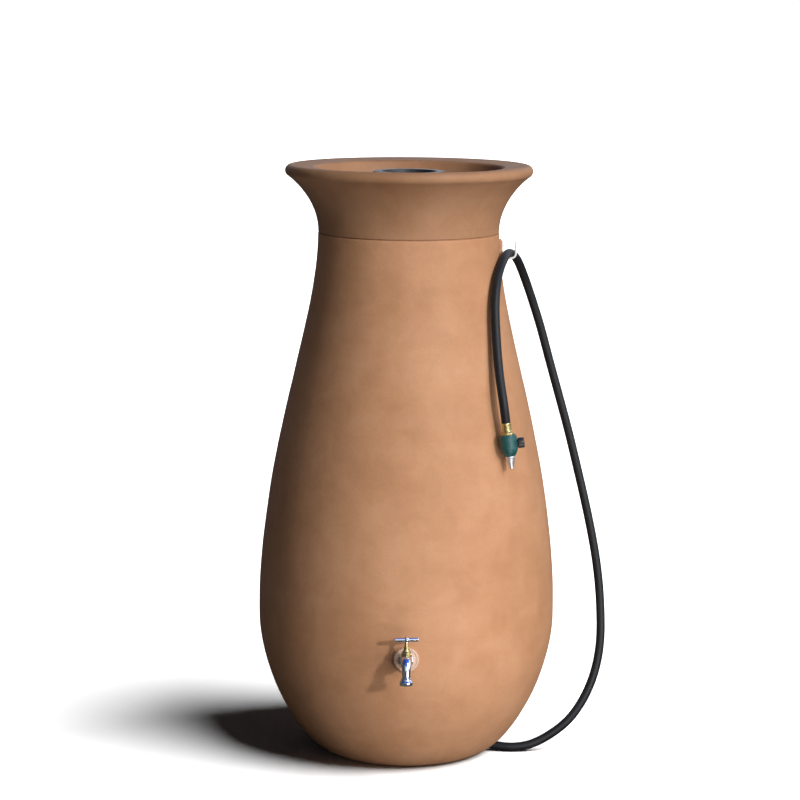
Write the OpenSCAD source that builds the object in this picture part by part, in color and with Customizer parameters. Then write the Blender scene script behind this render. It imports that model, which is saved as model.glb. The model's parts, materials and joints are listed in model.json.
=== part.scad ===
// Urn-shaped rain barrel with a planter top, a tap and a hanging hose.
// Millimetres, +Z up. The origin is the centre of the flat base; the tap faces -Y
// and the hose hangs on the +X side.

/* [Barrel] */
// Overall height to the top of the lip
total_h = 1210; // [1200:1:1220]
// Radius at the widest part of the belly
belly_r = 305; // [302:1:307]
// Height of the widest part of the belly
belly_z = 285; // [275:1:295]
// Radius of the neck, where the planter top joins
neck_r = 184; // [183.5:0.5:185]
// Height of the joint between barrel and planter top
seam_z = 1072; // [1071:0.5:1073]
// Radius of the flat base
base_r = 158; // [150:1:162]
// Wall thickness of the mouldings
wall = 5; // [4:0.5:6]

/* [Planter top] */
// Largest radius of the rolled lip
lip_r = 251; // [246:1:256]
// Radius of the lip's round edge
lip_round = 12; // [10:0.5:14]
// Radius of the bowl at its inner edge
bowl_r = 189; // [185:1:192]
// Depth of the bowl below the top of the lip
bowl_depth = 122; // [110:1:130]
// Inside radius of the central inlet collar
collar_r = 61; // [58:0.5:64]
// Radius of each drain hole in the bowl's floor
drain_r = 4; // [3:0.5:5]
// Number of drain holes
drain_count = 6; // [4:1:8]

/* [Tap] */
// Height of the tap's inlet axis
tap_z = 262; // [255:1:270]
// Length of the T handle's bar
handle_len = 47; // [40:1:55]
// How far round the T-handle's bar is left turned when the tap is shut, in degrees
handle_turn = 6; // [-45:1:45]
// How far the spindle rises when the tap is opened
tap_lift = 4.5; // [3:0.5:5]

/* [Hose] */
// Outside diameter of the hose
hose_d = 18; // [17:0.5:18]
// Sides of the hose's tube
hose_sides = 12; // [8:1:12]

/* [Hidden] */
$fn = 96;

// Outline of the barrel and the planter top
belly_steps = 11;
neck_steps = 16;
flare_steps = 9;
belly_start = [57, 0];
belly_end = [0, -125];
neck_start = [0, 340];
neck_end = [0, -186];
seam_gap = 2.5;
seam_depth = 3;
rim_chamfer = 1;
lip_centre = [lip_r - lip_round, total_h - lip_round];
lip_from = -55;
flare_start = [0, 60];
flare_end_len = 18;
skirt_gap = 0.5;
skirt_depth = 32;
bowl_edge_round = 8;
bowl_taper = 30;
bowl_fillet = 10;
bowl_floor_z = total_h - bowl_depth;
collar_top_z = 1194;
collar_fillet = 5;
drain_pitch_r = 110;

// Flats and thick spots moulded into the barrel for its fittings
tap_face = 306;
tap_pad_r = 27;
pad_wall = 11;
overflow_z = 1000;
overflow_face = 195.5;
overflow_pad_r = 25;
hook_face = 189;
hook_pad_w = 24;
hook_pad_z = [1001, 1059];

// Screen basket
screen_gap = 0.6;
screen_wall = 4.4;
screen_flange_r = 73;
screen_flange_t = 3;
screen_floor_z = 1134;
screen_rib = 3;
screen_r = collar_r - screen_gap;
screen_bore_r = screen_r - screen_wall;
screen_top = collar_top_z + screen_flange_t;
mesh_t = 1;
mesh_z = screen_floor_z + screen_rib;
mesh_r = screen_bore_r - 2;

// Tap, in its own frame: the pad's face is the start of the run out of the wall
inlet_bore_r = 10.7;
tap_thread_r = 10.4;
tap_thread_len = 24;
flange_r = 24.5;
flange_t = 4.5;
chamber_out = 39;
chamber_r = 10.5;
spout_r = 8.6;
spout_bore_r = 4.2;
spout_turn_r = 20;
spout_rise = 10.5;
spout_start = 45;
outlet_r = 13.25;
outlet_mouth_r = 9.3;
outlet_low = -33;
outlet_len = 8;
seat_z = 6;
seat_r = 5;
run_gap = 0.05;
spindle_r = 3.4;
spindle_thread_r = 5.2;
jumper_stem_r = 2.4;
bonnet_z = 19;
handle_z = 50;
handle_r = 4.5;

// Hose route, from the outlet in the foot to the valve that hangs in front of the neck
hose_r = hose_d / 2;
hose_route = [
    [120, -35, 21], [144, -42, 17.2], [168, -49, 13.4], [192, -56, 10.4], [222, -60, 9.3],
    [254, -58, 13], [282, -54, 24], [308, -49, 39], [337, -42, 61], [358, -33, 86],
    [376, -24, 115], [391, -13, 150], [401, -2, 188], [406, 8, 229], [406, 19, 276],
    [403, 30, 330], [396, 41, 388], [385, 51, 448], [371, 61, 512], [355, 70, 578],
    [337, 79, 650], [317, 86, 722], [296, 91, 796], [276, 93, 868], [258, 89, 924],
    [244, 79, 964], [233, 64, 992], [224, 45, 1013], [214, 23, 1026.6], [204, 0, 1032.2],
    [197, -26, 1030], [191, -52, 1023], [184, -77, 1011], [178, -99, 993], [174, -117, 970],
    [172, -134, 934], [174, -149, 888], [177, -164, 844], [182, -181, 797], [189, -197, 753],
    [194, -200, 715]];
hose_ring_gap = 50;
hose_last = len(hose_route) - 1;
outlet_way = hose_route[1] - hose_route[0];
outlet_yaw = atan2(outlet_way[1], outlet_way[0]);
outlet_pitch = atan2(-outlet_way[2], norm([outlet_way[0], outlet_way[1]]));
nozzle_way = (hose_route[hose_last] - hose_route[hose_last - 1])
    / norm(hose_route[hose_last] - hose_route[hose_last - 1]);
nozzle_tilt_x = asin(nozzle_way[1]);
nozzle_tilt_y = -asin(nozzle_way[0] / cos(nozzle_tilt_x));

// Recess in the foot for the hose, and the fitting behind it, in the outlet's frame
niche_r = 14;
niche_back = -21;
niche_len = 170;
niche_drop = 60;
outlet_hole_r = 9.8;
outlet_thread_r = 9.5;

// Hose valve, in its own frame: the hose ends at 0 and the tip hangs below
valve_z = -42;
valve_r = 17.7;
ball_r = 9;
knob_r = 10.5;
knob_from = 18.2;
knob_len = 13;
stem_r = 3.5;
tip_z = -66;
tip_len = 25;

// Hook
wire_r = 2.2;
hook_plate_t = 3;
hook_plate_w = 18;
hook_plate_z = [1004, 1056];
hook_arm_z = 1020.8;
hook_turn_r = 10;
hook_tip_x = 218;
hook_tip_z = 1044;
hook_screw_z = [1011, 1048];
hook_screw_r = 2.1;
hook_screw_len = 6.8;
hook_boss_r = 7;
hook_boss_len = 9.3;

// Overflow, in its own frame: the pad's face is the start of the run out of the wall
overflow_hole_r = 15;
overflow_thread_r = 14.8;
overflow_bore_r = 12.5;
overflow_tail_r = 16;
overflow_wall = 15;
overflow_inside = 27;
overflow_len = 42;

terracotta = "#c68e66";
pale_terracotta = "#d8ab8a";

// ---- Functions ----

function bezier(a, b, c, d, steps, first = 0) =
    [for (i = [first : steps])
        let (t = i / steps, s = 1 - t)
        s * s * s * a + 3 * s * s * t * b + 3 * s * t * t * c + t * t * t * d];

function arc(centre, r, from, to, steps) =
    [for (i = [0 : steps])
        let (angle = from + (to - from) * i / steps)
        centre + r * [cos(angle), sin(angle)]];

// Moves an outline to its left by t: inward for one that climbs the outside of a wall
function inset(path, t) =
    [for (i = [0 : len(path) - 1])
        let (d = path[min(i + 1, len(path) - 1)] - path[max(i - 1, 0)])
        path[i] + t * [-d[1], d[0]] / norm(d)];

function reversed(path) = [for (i = [len(path) - 1 : -1 : 0]) path[i]];

function cr_point(a, b, c, d, t) =
    0.5 * (2 * b + t * (c - a) + t * t * (2 * a - 5 * b + 4 * c - d)
        + t * t * t * (3 * b - a - 3 * c + d));

function route_point(route, i) =
    i < 0 ? 2 * route[0] - route[1]
    : i >= len(route) ? 2 * route[len(route) - 1] - route[len(route) - 2]
    : route[i];

function smooth_route(route, gap) =
    concat([for (i = [0 : len(route) - 2])
        let (steps = ceil(norm(route[i + 1] - route[i]) / gap))
        for (k = [0 : steps - 1])
        cr_point(route_point(route, i - 1), route[i], route[i + 1],
            route_point(route, i + 2), k / steps)],
        [route[len(route) - 1]]);

function unit(v) = v / norm(v);

function tangent(line, i) =
    unit(line[min(i + 1, len(line) - 1)] - line[max(i - 1, 0)]);

function square_to(v, t) = unit(v - (v * t) * t);

// One direction across the tube per ring, carried along without twist
function side_ways(line, start) =
    [for (i = 0, v = square_to(start, tangent(line, 0));
        i < len(line);
        i = i + 1, v = i < len(line) ? square_to(v, tangent(line, i)) : v) v];

// ---- Outlines ----

belly_point = [belly_r, belly_z];
neck_point = [neck_r, seam_z];
base_point = [base_r, 0];
barrel_outline = concat(
    bezier(base_point, base_point + belly_start, belly_point + belly_end, belly_point, belly_steps),
    bezier(belly_point, belly_point + neck_start, neck_point + neck_end, neck_point,
        neck_steps, 1));
barrel_rim = [[neck_r, seam_z - rim_chamfer], [neck_r - rim_chamfer, seam_z]];
barrel_side = [for (p = barrel_outline) if (p[1] < seam_z - 2 * rim_chamfer) p];
barrel_inside = inset(barrel_outline, wall);

lip_start = lip_centre + lip_round * [cos(lip_from), sin(lip_from)];
lip_way = [-sin(lip_from), cos(lip_from)];
planter_foot = [neck_r - 0.5, seam_z + seam_gap];
bowl_edge = [bowl_r + bowl_edge_round, total_h - 4 - bowl_edge_round];
bowl_foot = [bowl_r - bowl_taper, bowl_floor_z + bowl_fillet];
collar_foot = [collar_r + wall + collar_fillet, bowl_floor_z + collar_fillet];
planter_outline = concat(
    bezier(planter_foot, planter_foot + flare_start, lip_start - flare_end_len * lip_way,
        lip_start, flare_steps),
    arc(lip_centre, lip_round, lip_from + 18, 90, 8),
    arc(bowl_edge, bowl_edge_round, 90, 165, 5),
    arc(bowl_foot - [bowl_fillet, 0], bowl_fillet, -15, -90, 5),
    arc(collar_foot, collar_fillet, -90, -180, 4),
    [[collar_r + wall, collar_top_z]]);
skirt_r = neck_r - wall - skirt_gap;
skirt_outline = [
    [skirt_r - wall, seam_z - skirt_depth], [skirt_r, seam_z - skirt_depth],
    [skirt_r, seam_z], [neck_r - seam_depth, seam_z], [neck_r - seam_depth, seam_z + seam_gap],
    [neck_r - 2, seam_z + seam_gap], [neck_r - 2, seam_z + seam_gap + 8],
    [skirt_r - 3, seam_z + seam_gap + 8], [skirt_r - wall, seam_z + seam_gap + 3]];

// ---- Placing ----

module at_tap() {
    translate([0, -tap_face, tap_z]) children();
}

// Turns +Z to point out of the tap's wall
module out_of_wall() {
    rotate([90, 0, 0]) children();
}

module at_chamber() {
    at_tap() translate([0, -chamber_out, 0]) children();
}

// Turns +X to run along the hose out of its outlet
module at_outlet() {
    translate(hose_route[0]) rotate([0, outlet_pitch, outlet_yaw]) children();
}

module at_nozzle() {
    translate(hose_route[hose_last]) rotate([nozzle_tilt_x, nozzle_tilt_y, 0]) children();
}

module at_overflow() {
    translate([0, overflow_face, overflow_z]) rotate([-90, 0, 0]) children();
}

module ring(outer, inner, from, to) {
    translate([0, 0, from]) difference() {
        cylinder(r = outer, h = to - from);
        translate([0, 0, -1]) cylinder(r = inner, h = to - from + 2);
    }
}

// A hexagon nut measured across its flats
module hex_ring(flats, inner, from, to) {
    translate([0, 0, from]) difference() {
        cylinder(r = flats / 2 / cos(30), h = to - from, $fn = 6);
        translate([0, 0, -1]) cylinder(r = inner, h = to - from + 2);
    }
}

// ---- Barrel and planter top ----

module niche_shape(grow, back, length) {
    at_outlet() translate([back, 0, 0]) rotate([90, 0, 90]) linear_extrude(length) {
        circle(r = niche_r + grow);
        translate([-niche_r - grow, -niche_drop]) square([2 * (niche_r + grow), niche_drop]);
    }
}

module hook_screw_spots(r, from, to) {
    for (z = hook_screw_z)
        translate([from, 0, z]) rotate([0, 90, 0]) cylinder(r = r, h = to - from);
}

module barrel_outside() {
    rotate_extrude() polygon(concat([[0, 0]], barrel_side, barrel_rim, [[0, seam_z]]));
    at_tap() out_of_wall() translate([0, 0, -30]) cylinder(r = tap_pad_r, h = 30);
    at_overflow() translate([0, 0, -30]) cylinder(r = overflow_pad_r, h = 30);
    translate([hook_face - 30, -hook_pad_w / 2, hook_pad_z[0]])
        cube([30, hook_pad_w, hook_pad_z[1] - hook_pad_z[0]]);
}

module barrel_hollow() {
    difference() {
        rotate_extrude()
            polygon(concat([[0, wall]], barrel_inside, [[neck_r - wall, seam_z + 1], [0, seam_z + 1]]));
        niche_shape(wall, niche_back - wall, niche_len + wall);
        at_tap() out_of_wall() translate([0, 0, -pad_wall]) cylinder(r = tap_pad_r, h = pad_wall + 9);
        at_overflow() translate([0, 0, -overflow_wall])
            cylinder(r = overflow_pad_r, h = overflow_wall + 9);
        hook_screw_spots(hook_boss_r, hook_face - hook_boss_len, hook_face);
    }
}

module barrel_body() {
    color(terracotta) difference() {
        barrel_outside();
        barrel_hollow();
        niche_shape(0, niche_back, niche_len);
        at_outlet() rotate([0, 90, 0]) translate([0, 0, niche_back - wall - 1])
            cylinder(r = outlet_hole_r, h = wall + 2);
        at_tap() out_of_wall() translate([0, 0, -pad_wall - 1])
            cylinder(r = inlet_bore_r, h = pad_wall + 2);
        at_overflow() translate([0, 0, -overflow_inside])
            cylinder(r = overflow_hole_r, h = overflow_inside + 1);
        hook_screw_spots(hook_screw_r, hook_face - hook_screw_len - 0.2, hook_face + 1);
    }
}

module planter_top() {
    color(terracotta) difference() {
        rotate_extrude() {
            polygon(concat(planter_outline, reversed(inset(planter_outline, wall))));
            polygon(skirt_outline);
        }
        for (i = [0 : drain_count - 1])
            rotate(i * 360 / drain_count + 30)
                translate([drain_pitch_r, 0, bowl_floor_z - wall - 1])
                    cylinder(r = drain_r, h = wall + 2, $fn = 32);
    }
}

// ---- Inlet screen ----

module screen_frame() {
    color("#3b3c3d") {
        rotate_extrude() polygon([
            [screen_bore_r, screen_floor_z], [screen_r, screen_floor_z],
            [screen_r, collar_top_z], [screen_flange_r, collar_top_z],
            [screen_flange_r, screen_top - 1], [screen_flange_r - 1, screen_top],
            [screen_bore_r, screen_top]]);
        difference() {
            ring(screen_bore_r + 1, screen_bore_r - 5, screen_floor_z, mesh_z + mesh_t);
            translate([0, 0, mesh_z]) cylinder(r = mesh_r + 0.1, h = mesh_t + 1);
        }
        for (angle = [0 : 45 : 135])
            rotate(angle)
                translate([-screen_bore_r - 1, -1.5, screen_floor_z])
                    cube([2 * screen_bore_r + 2, 3, screen_rib]);
    }
}

module screen_mesh() {
    color("#9a9c9e") translate([0, 0, mesh_z]) cylinder(r = mesh_r, h = mesh_t);
}

// ---- Tap ----

module tap_flange() {
    color(pale_terracotta) at_tap() out_of_wall() rotate_extrude() polygon(concat(
        [[inlet_bore_r, 0], [flange_r, 0]],
        arc([flange_r - 2.5, flange_t - 2.5], 2.5, 0, 90, 5),
        [[inlet_bore_r, flange_t]]));
}

module spout(r) {
    at_tap() translate([0, -spout_start, spout_rise - spout_turn_r]) rotate([90, 0, -90])
        rotate_extrude(angle = 90) translate([spout_turn_r, 0]) circle(r = r, $fn = 48);
    at_tap() translate([0, -chamber_out, spout_rise]) out_of_wall()
        cylinder(r = r, h = spout_start - chamber_out);
    at_spout_end() translate([0, 0, outlet_low + 1])
        cylinder(r = r, h = spout_rise - spout_turn_r - outlet_low - 1);
}

module at_spout_end() {
    at_tap() translate([0, -spout_start - spout_turn_r, 0]) children();
}

module tap_body() {
    color("#cfd4da") difference() {
        union() {
            at_tap() out_of_wall() {
                translate([0, 0, -tap_thread_len])
                    cylinder(r = tap_thread_r, h = tap_thread_len + flange_t + 1);
                translate([0, 0, flange_t]) cylinder(r = 12.5 / cos(30), h = 5, $fn = 6);
                translate([0, 0, flange_t + 5]) cylinder(r1 = 10.5, r2 = 9.2, h = 6);
                translate([0, 0, flange_t + 10]) cylinder(r = 9.2, h = chamber_out - flange_t - 10);
            }
            at_chamber() rotate_extrude() polygon([
                [0, -12], [5, -11.4], [8.4, -9.3], [10.1, -6.5], [chamber_r, -3],
                [chamber_r, bonnet_z - 5], [11.2, bonnet_z - 4], [11.2, bonnet_z - 1],
                [10.6, bonnet_z], [0, bonnet_z]]);
            spout(spout_r);
            at_spout_end() rotate_extrude() polygon([
                [0, outlet_low], [outlet_r, outlet_low], [outlet_r, outlet_low + outlet_len],
                [12, outlet_low + outlet_len + 1.5], [10, outlet_low + outlet_len + 3],
                [9.6, outlet_low + outlet_len + 6], [8, outlet_low + outlet_len + 7.5],
                [0, outlet_low + outlet_len + 7.5]]);
        }
        at_tap() out_of_wall() translate([0, 0, -tap_thread_len - 1])
            cylinder(r = 6.5, h = tap_thread_len + 21);
        at_tap() out_of_wall() cylinder(r = 3.8, h = chamber_out);
        at_chamber() translate([0, 0, -6]) cylinder(r = 7, h = seat_z + 4);
        at_chamber() cylinder(r = seat_r, h = seat_z + 1);
        at_chamber() translate([0, 0, seat_z]) cylinder(r = 8, h = 6);
        at_chamber() translate([0, 0, 11]) cylinder(r = 9, h = bonnet_z - 10);
        spout(spout_bore_r);
        at_spout_end() translate([0, 0, outlet_low - 1]) cylinder(r = outlet_mouth_r, h = outlet_len + 2);
    }
}

module tap_bonnet() {
    color("#b8933f") at_chamber() difference() {
        union() {
            ring(8.9, 7.7, 11, bonnet_z);
            translate([0, 0, bonnet_z]) cylinder(r = 10.2, h = 1.5);
            translate([0, 0, bonnet_z + 1.5]) cylinder(r = 9.6 / cos(30), h = 4, $fn = 6);
            translate([0, 0, bonnet_z + 5.5]) cylinder(r1 = 9.6, r2 = 6.4, h = 8.5);
        }
        translate([0, 0, 10]) cylinder(r = 7.7, h = 8);
        translate([0, 0, 10]) cylinder(r = spindle_thread_r + run_gap, h = 20.3);
        translate([0, 0, 30]) cylinder(r = spindle_r + run_gap, h = 2);
        translate([0, 0, 31]) cylinder(r = 5, h = 3);
    }
}

module tap_packing() {
    color("#2a2a2a") at_chamber() ring(4.9, spindle_r + run_gap, 31, 33);
}

module tap_gland_nut() {
    color("#b8933f") at_chamber() difference() {
        translate([0, 0, 33]) cylinder(r1 = 5.8, r2 = 4.6, h = 4);
        translate([0, 0, 32]) cylinder(r = spindle_r + run_gap, h = 6);
    }
}

module tap_spindle() {
    color("#c9a755") at_chamber() difference() {
        union() {
            translate([0, 0, 10.8]) cylinder(r = spindle_thread_r, h = 14.7);
            translate([0, 0, 20]) cylinder(r = spindle_r, h = handle_z + handle_r - 20);
        }
        translate([0, 0, 10]) cylinder(r = jumper_stem_r + run_gap, h = 12);
        translate([0, 0, handle_z - 2]) cylinder(r = 1.6, h = handle_r + 3);
    }
}

module tap_handle() {
    color("#d5d8dc") at_chamber() difference() {
        union() {
            translate([0, 0, handle_z]) rotate([0, 90, handle_turn]) rotate_extrude() polygon(concat(
                [[0, -handle_len / 2], [3.2, -handle_len / 2], [handle_r, -handle_len / 2 + 1.3]],
                [[handle_r, handle_len / 2 - 1.3], [3.2, handle_len / 2], [0, handle_len / 2]]));
            translate([0, 0, handle_z - 6]) cylinder(r = 6.2, h = 10.8);
        }
        translate([0, 0, handle_z - 7]) cylinder(r = spindle_r, h = handle_r + 7 + 1);
    }
}

module tap_handle_screw() {
    color("#aeb2b6") at_chamber() {
        translate([0, 0, handle_z + handle_r]) cylinder(r1 = 3.2, r2 = 2.2, h = 1.8);
        translate([0, 0, handle_z - 1.5]) cylinder(r = 1.6, h = handle_r + 2);
    }
}

module tap_jumper() {
    color("#b8933f") at_chamber() {
        translate([0, 0, seat_z + 2.5]) cylinder(r = 7.2, h = 2);
        translate([0, 0, seat_z + 4]) cylinder(r = jumper_stem_r, h = 9.5);
    }
}

module tap_jumper_washer() {
    color("#1d1d1d") at_chamber() translate([0, 0, seat_z]) cylinder(r = 7, h = 2.5);
}

module tap_gasket() {
    color("#1d1d1d") at_tap() out_of_wall() ring(19, inlet_bore_r, -pad_wall - 2.5, -pad_wall);
}

module tap_locknut() {
    color("#b8933f") at_tap() out_of_wall()
        hex_ring(30, tap_thread_r + 0.05, -pad_wall - 10.5, -pad_wall - 2.5);
}

// ---- Hose outlet in the foot ----

module along_hose() {
    at_outlet() rotate([0, 90, 0]) children();
}

module outlet_fitting() {
    color("#26282a") along_hose() difference() {
        union() {
            translate([0, 0, niche_back - 20]) cylinder(r = outlet_thread_r, h = 22);
            translate([0, 0, niche_back + 2]) cylinder(r = 12.6, h = 6);
            translate([0, 0, niche_back + 8]) cylinder(r = 8.8, h = -niche_back - 8);
        }
        translate([0, 0, niche_back - 21]) cylinder(r = 5, h = 60);
    }
}

module outlet_gasket() {
    color("#1d1d1d") along_hose() ring(12.4, outlet_hole_r, niche_back, niche_back + 2);
}

module outlet_locknut() {
    color("#26282a") along_hose()
        hex_ring(26, outlet_thread_r + 0.05, niche_back - wall - 7, niche_back - wall);
}

module hose_clamp() {
    color("#b9bcbf") along_hose() {
        ring(hose_r + 0.9, hose_r + 0.05, 6, 15);
        difference() {
            translate([-hose_r - 3.4, -4, 6.5]) cube([3.4, 8, 8]);
            cylinder(r = hose_r + 0.5, h = 20);
        }
    }
}

// ---- Hose and the valve on its end ----

module hose() {
    line = smooth_route(hose_route, hose_ring_gap);
    ways = side_ways(line, [0, 0, 1]);
    rings = len(line);
    points = [for (i = [0 : rings - 1])
        let (t = tangent(line, i), u = ways[i], v = cross(t, u))
        for (k = [0 : hose_sides - 1])
        let (angle = 360 * k / hose_sides)
        line[i] + hose_r * (cos(angle) * u + sin(angle) * v)];
    sides = [for (i = [0 : rings - 2])
        for (k = [0 : hose_sides - 1])
        let (a = i * hose_sides + k, b = i * hose_sides + (k + 1) % hose_sides)
        for (f = [[a, a + hose_sides, b], [b, a + hose_sides, b + hose_sides]]) f];
    first = [for (k = [0 : hose_sides - 1]) k];
    last = [for (k = [hose_sides - 1 : -1 : 0]) (rings - 1) * hose_sides + k];
    color("#1f2122") polyhedron(points, concat(sides, [first], [last]));
}

module hose_ferrule() {
    color("#c2a04a") at_nozzle() rotate_extrude() polygon([
        [4.5, 0], [9.1, 0], [9.5, -1], [9.5, -3], [9.1, -3.6], [9.1, -15.4], [10.2, -17],
        [10.2, -18], [7.5, -18], [7.5, -30], [4.5, -30]]);
}

module hose_nut() {
    color("#b8933f") at_nozzle() rotate_extrude() polygon([
        [7.6, -18], [10.6, -18], [12.3, -19.4], [12.3, -25], [11.6, -26], [7.6, -26]]);
}

module valve_body() {
    color("#1f5a52") at_nozzle() difference() {
        rotate_extrude() polygon([
            [0, -23.5], [15, -23.5], [16.8, -24.8], [valve_r, -27.5], [valve_r, -50], [17, -54],
            [15.2, -58.5], [12.8, -62.5], [10.6, tip_z], [0, tip_z]]);
        translate([0, 0, -26.5]) cylinder(r = 13, h = 6);
        translate([0, 0, -30.5]) cylinder(r = 7.7, h = 10);
        translate([0, 0, tip_z - 1]) cylinder(r = 5, h = 50);
        translate([0, 0, valve_z]) sphere(r = ball_r + 0.4);
        translate([0, 0, valve_z]) rotate([0, 90, 0]) cylinder(r = stem_r + run_gap, h = 20);
        translate([knob_from - 0.4, -20, valve_z - 20]) cube([10, 40, 40]);
        translate([0, 0, tip_z - 1]) cylinder(r = 7, h = 9);
    }
}

module valve_ball() {
    color("#c9ccd0") at_nozzle() difference() {
        translate([0, 0, valve_z]) sphere(r = ball_r);
        translate([0, 0, valve_z - 10]) cylinder(r = 5, h = 20);
    }
}

module valve_stem() {
    color("#9b9ea2") at_nozzle() translate([ball_r - 0.2, 0, valve_z]) rotate([0, 90, 0])
        cylinder(r = stem_r, h = knob_from - ball_r + 8.2);
}

module valve_knob() {
    color("#17181a") at_nozzle() translate([knob_from, 0, valve_z]) rotate([0, 90, 0]) difference() {
        rotate_extrude() polygon([
            [0, 0], [knob_r - 0.8, 0], [knob_r, 1], [knob_r, knob_len - 1.8],
            [knob_r - 1.8, knob_len], [0, knob_len]]);
        translate([0, 0, -1]) cylinder(r = stem_r, h = 9);
        translate([0, 0, 5]) cylinder(r = 1.6, h = 10);
        translate([0, 0, knob_len - 2]) cylinder(r = 3.4, h = 4);
        for (angle = [0 : 30 : 330])
            rotate(angle) translate([knob_r + 0.6, 0, 2]) cylinder(r = 1.5, h = knob_len, $fn = 24);
    }
}

module knob_screw() {
    color("#aeb2b6") at_nozzle() translate([knob_from, 0, valve_z]) rotate([0, 90, 0]) {
        translate([0, 0, knob_len - 2]) cylinder(r = 3.1, h = 1.5);
        translate([0, 0, 8]) cylinder(r = 1.6, h = knob_len - 9.5);
    }
}

module nozzle_tip() {
    color("#b7bcc2") at_nozzle() rotate_extrude() polygon([
        [3.2, tip_z + 8], [6.9, tip_z + 8], [6.9, tip_z], [9.8, tip_z], [9.8, tip_z - 2.5],
        [9, tip_z - 3.5], [8.4, tip_z - 8], [6.4, tip_z - 16], [5, tip_z - tip_len + 2],
        [4.4, tip_z - tip_len], [3.2, tip_z - tip_len]]);
}

// ---- Hose hook ----

module hose_hook() {
    color("#e6e7e6") {
        difference() {
            translate([hook_face, -hook_plate_w / 2, hook_plate_z[0]])
                cube([hook_plate_t, hook_plate_w, hook_plate_z[1] - hook_plate_z[0]]);
            hook_screw_spots(hook_screw_r + 0.2, hook_face - 1, hook_face + hook_plate_t + 1);
        }
        translate([hook_face + 1, 0, hook_arm_z]) rotate([0, 90, 0])
            cylinder(r = wire_r, h = hook_tip_x - hook_turn_r - hook_face - 1, $fn = 32);
        translate([hook_tip_x - hook_turn_r, 0, hook_arm_z + hook_turn_r]) rotate([90, 0, 0])
            rotate([0, 0, -90]) rotate_extrude(angle = 90)
                translate([hook_turn_r, 0]) circle(r = wire_r, $fn = 32);
        translate([hook_tip_x, 0, hook_arm_z + hook_turn_r]) {
            cylinder(r = wire_r, h = hook_tip_z - hook_arm_z - hook_turn_r, $fn = 32);
            translate([0, 0, hook_tip_z - hook_arm_z - hook_turn_r]) sphere(r = wire_r, $fn = 32);
        }
    }
}

module hook_screws() {
    color("#b9bcbf") {
        hook_screw_spots(hook_screw_r - 0.05, hook_face - hook_screw_len,
            hook_face + hook_plate_t);
        hook_screw_spots(3.6, hook_face + hook_plate_t, hook_face + hook_plate_t + 1.4);
    }
}

// ---- Overflow ----

module overflow_spout() {
    color("#26282a") at_overflow() difference() {
        union() {
            translate([0, 0, -overflow_inside])
                cylinder(r = overflow_thread_r, h = overflow_inside + 1);
            cylinder(r = 22, h = 4);
            translate([0, 0, 4]) cylinder(r1 = 18, r2 = overflow_tail_r, h = 4);
            translate([0, 0, 8]) cylinder(r = overflow_tail_r, h = overflow_len - 8);
        }
        for (z = [14 : 6 : 32])
            ring(overflow_tail_r + 2, overflow_tail_r - 0.8, z, z + 2);
        translate([0, 0, -overflow_inside - 1])
            cylinder(r = overflow_bore_r, h = overflow_inside + overflow_len + 2);
    }
}

module overflow_gasket() {
    color("#1d1d1d") at_overflow() ring(21, overflow_hole_r, -overflow_wall - 2.5, -overflow_wall);
}

module overflow_locknut() {
    color("#26282a") at_overflow()
        hex_ring(38, overflow_thread_r + 0.05, -overflow_wall - 9.5, -overflow_wall - 2.5);
}

barrel_body();
planter_top();
screen_frame();
screen_mesh();
tap_flange();
tap_body();
tap_bonnet();
tap_packing();
tap_gland_nut();
tap_spindle();
tap_handle();
tap_handle_screw();
tap_jumper();
tap_jumper_washer();
tap_gasket();
tap_locknut();
outlet_fitting();
outlet_gasket();
outlet_locknut();
hose_clamp();
hose();
hose_ferrule();
hose_nut();
valve_body();
valve_ball();
valve_stem();
valve_knob();
knob_screw();
nozzle_tip();
hose_hook();
hook_screws();
overflow_spout();
overflow_gasket();
overflow_locknut();
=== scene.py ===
"""The looks of an urn-shaped rain barrel: terracotta mouldings, a chrome tap, a rubber hose with
its valve, and the small fittings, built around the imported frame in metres."""
import json
import math

import bmesh
import bpy
from mathutils import Euler, Matrix, Vector, noise
from mathutils.bvhtree import BVHTree


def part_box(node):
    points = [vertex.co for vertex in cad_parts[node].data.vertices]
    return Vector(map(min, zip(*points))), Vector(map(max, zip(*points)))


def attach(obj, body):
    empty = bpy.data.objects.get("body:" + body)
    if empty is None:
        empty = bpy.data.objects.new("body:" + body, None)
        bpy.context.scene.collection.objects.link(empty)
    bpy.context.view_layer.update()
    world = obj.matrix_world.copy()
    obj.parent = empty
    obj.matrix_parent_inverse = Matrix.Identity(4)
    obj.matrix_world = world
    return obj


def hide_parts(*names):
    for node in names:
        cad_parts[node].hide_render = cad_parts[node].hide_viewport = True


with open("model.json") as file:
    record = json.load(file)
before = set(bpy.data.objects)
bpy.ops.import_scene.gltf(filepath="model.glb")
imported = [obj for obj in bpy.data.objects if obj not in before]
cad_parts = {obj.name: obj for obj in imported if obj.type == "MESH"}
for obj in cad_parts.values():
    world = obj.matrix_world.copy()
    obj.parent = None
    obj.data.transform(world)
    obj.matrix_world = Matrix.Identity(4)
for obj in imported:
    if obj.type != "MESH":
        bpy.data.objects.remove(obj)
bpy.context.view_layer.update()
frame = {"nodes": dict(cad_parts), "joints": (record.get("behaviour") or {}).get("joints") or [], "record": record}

TAU = math.tau
MM = 0.001

# ---- Places and sizes, from the frame ----

barrel_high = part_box("barrel_body")[1]
planter_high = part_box("planter_top")[1]
belly_r = barrel_high.x
seam_z = barrel_high.z
total_h = planter_high.z
lip_r = planter_high.x

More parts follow.
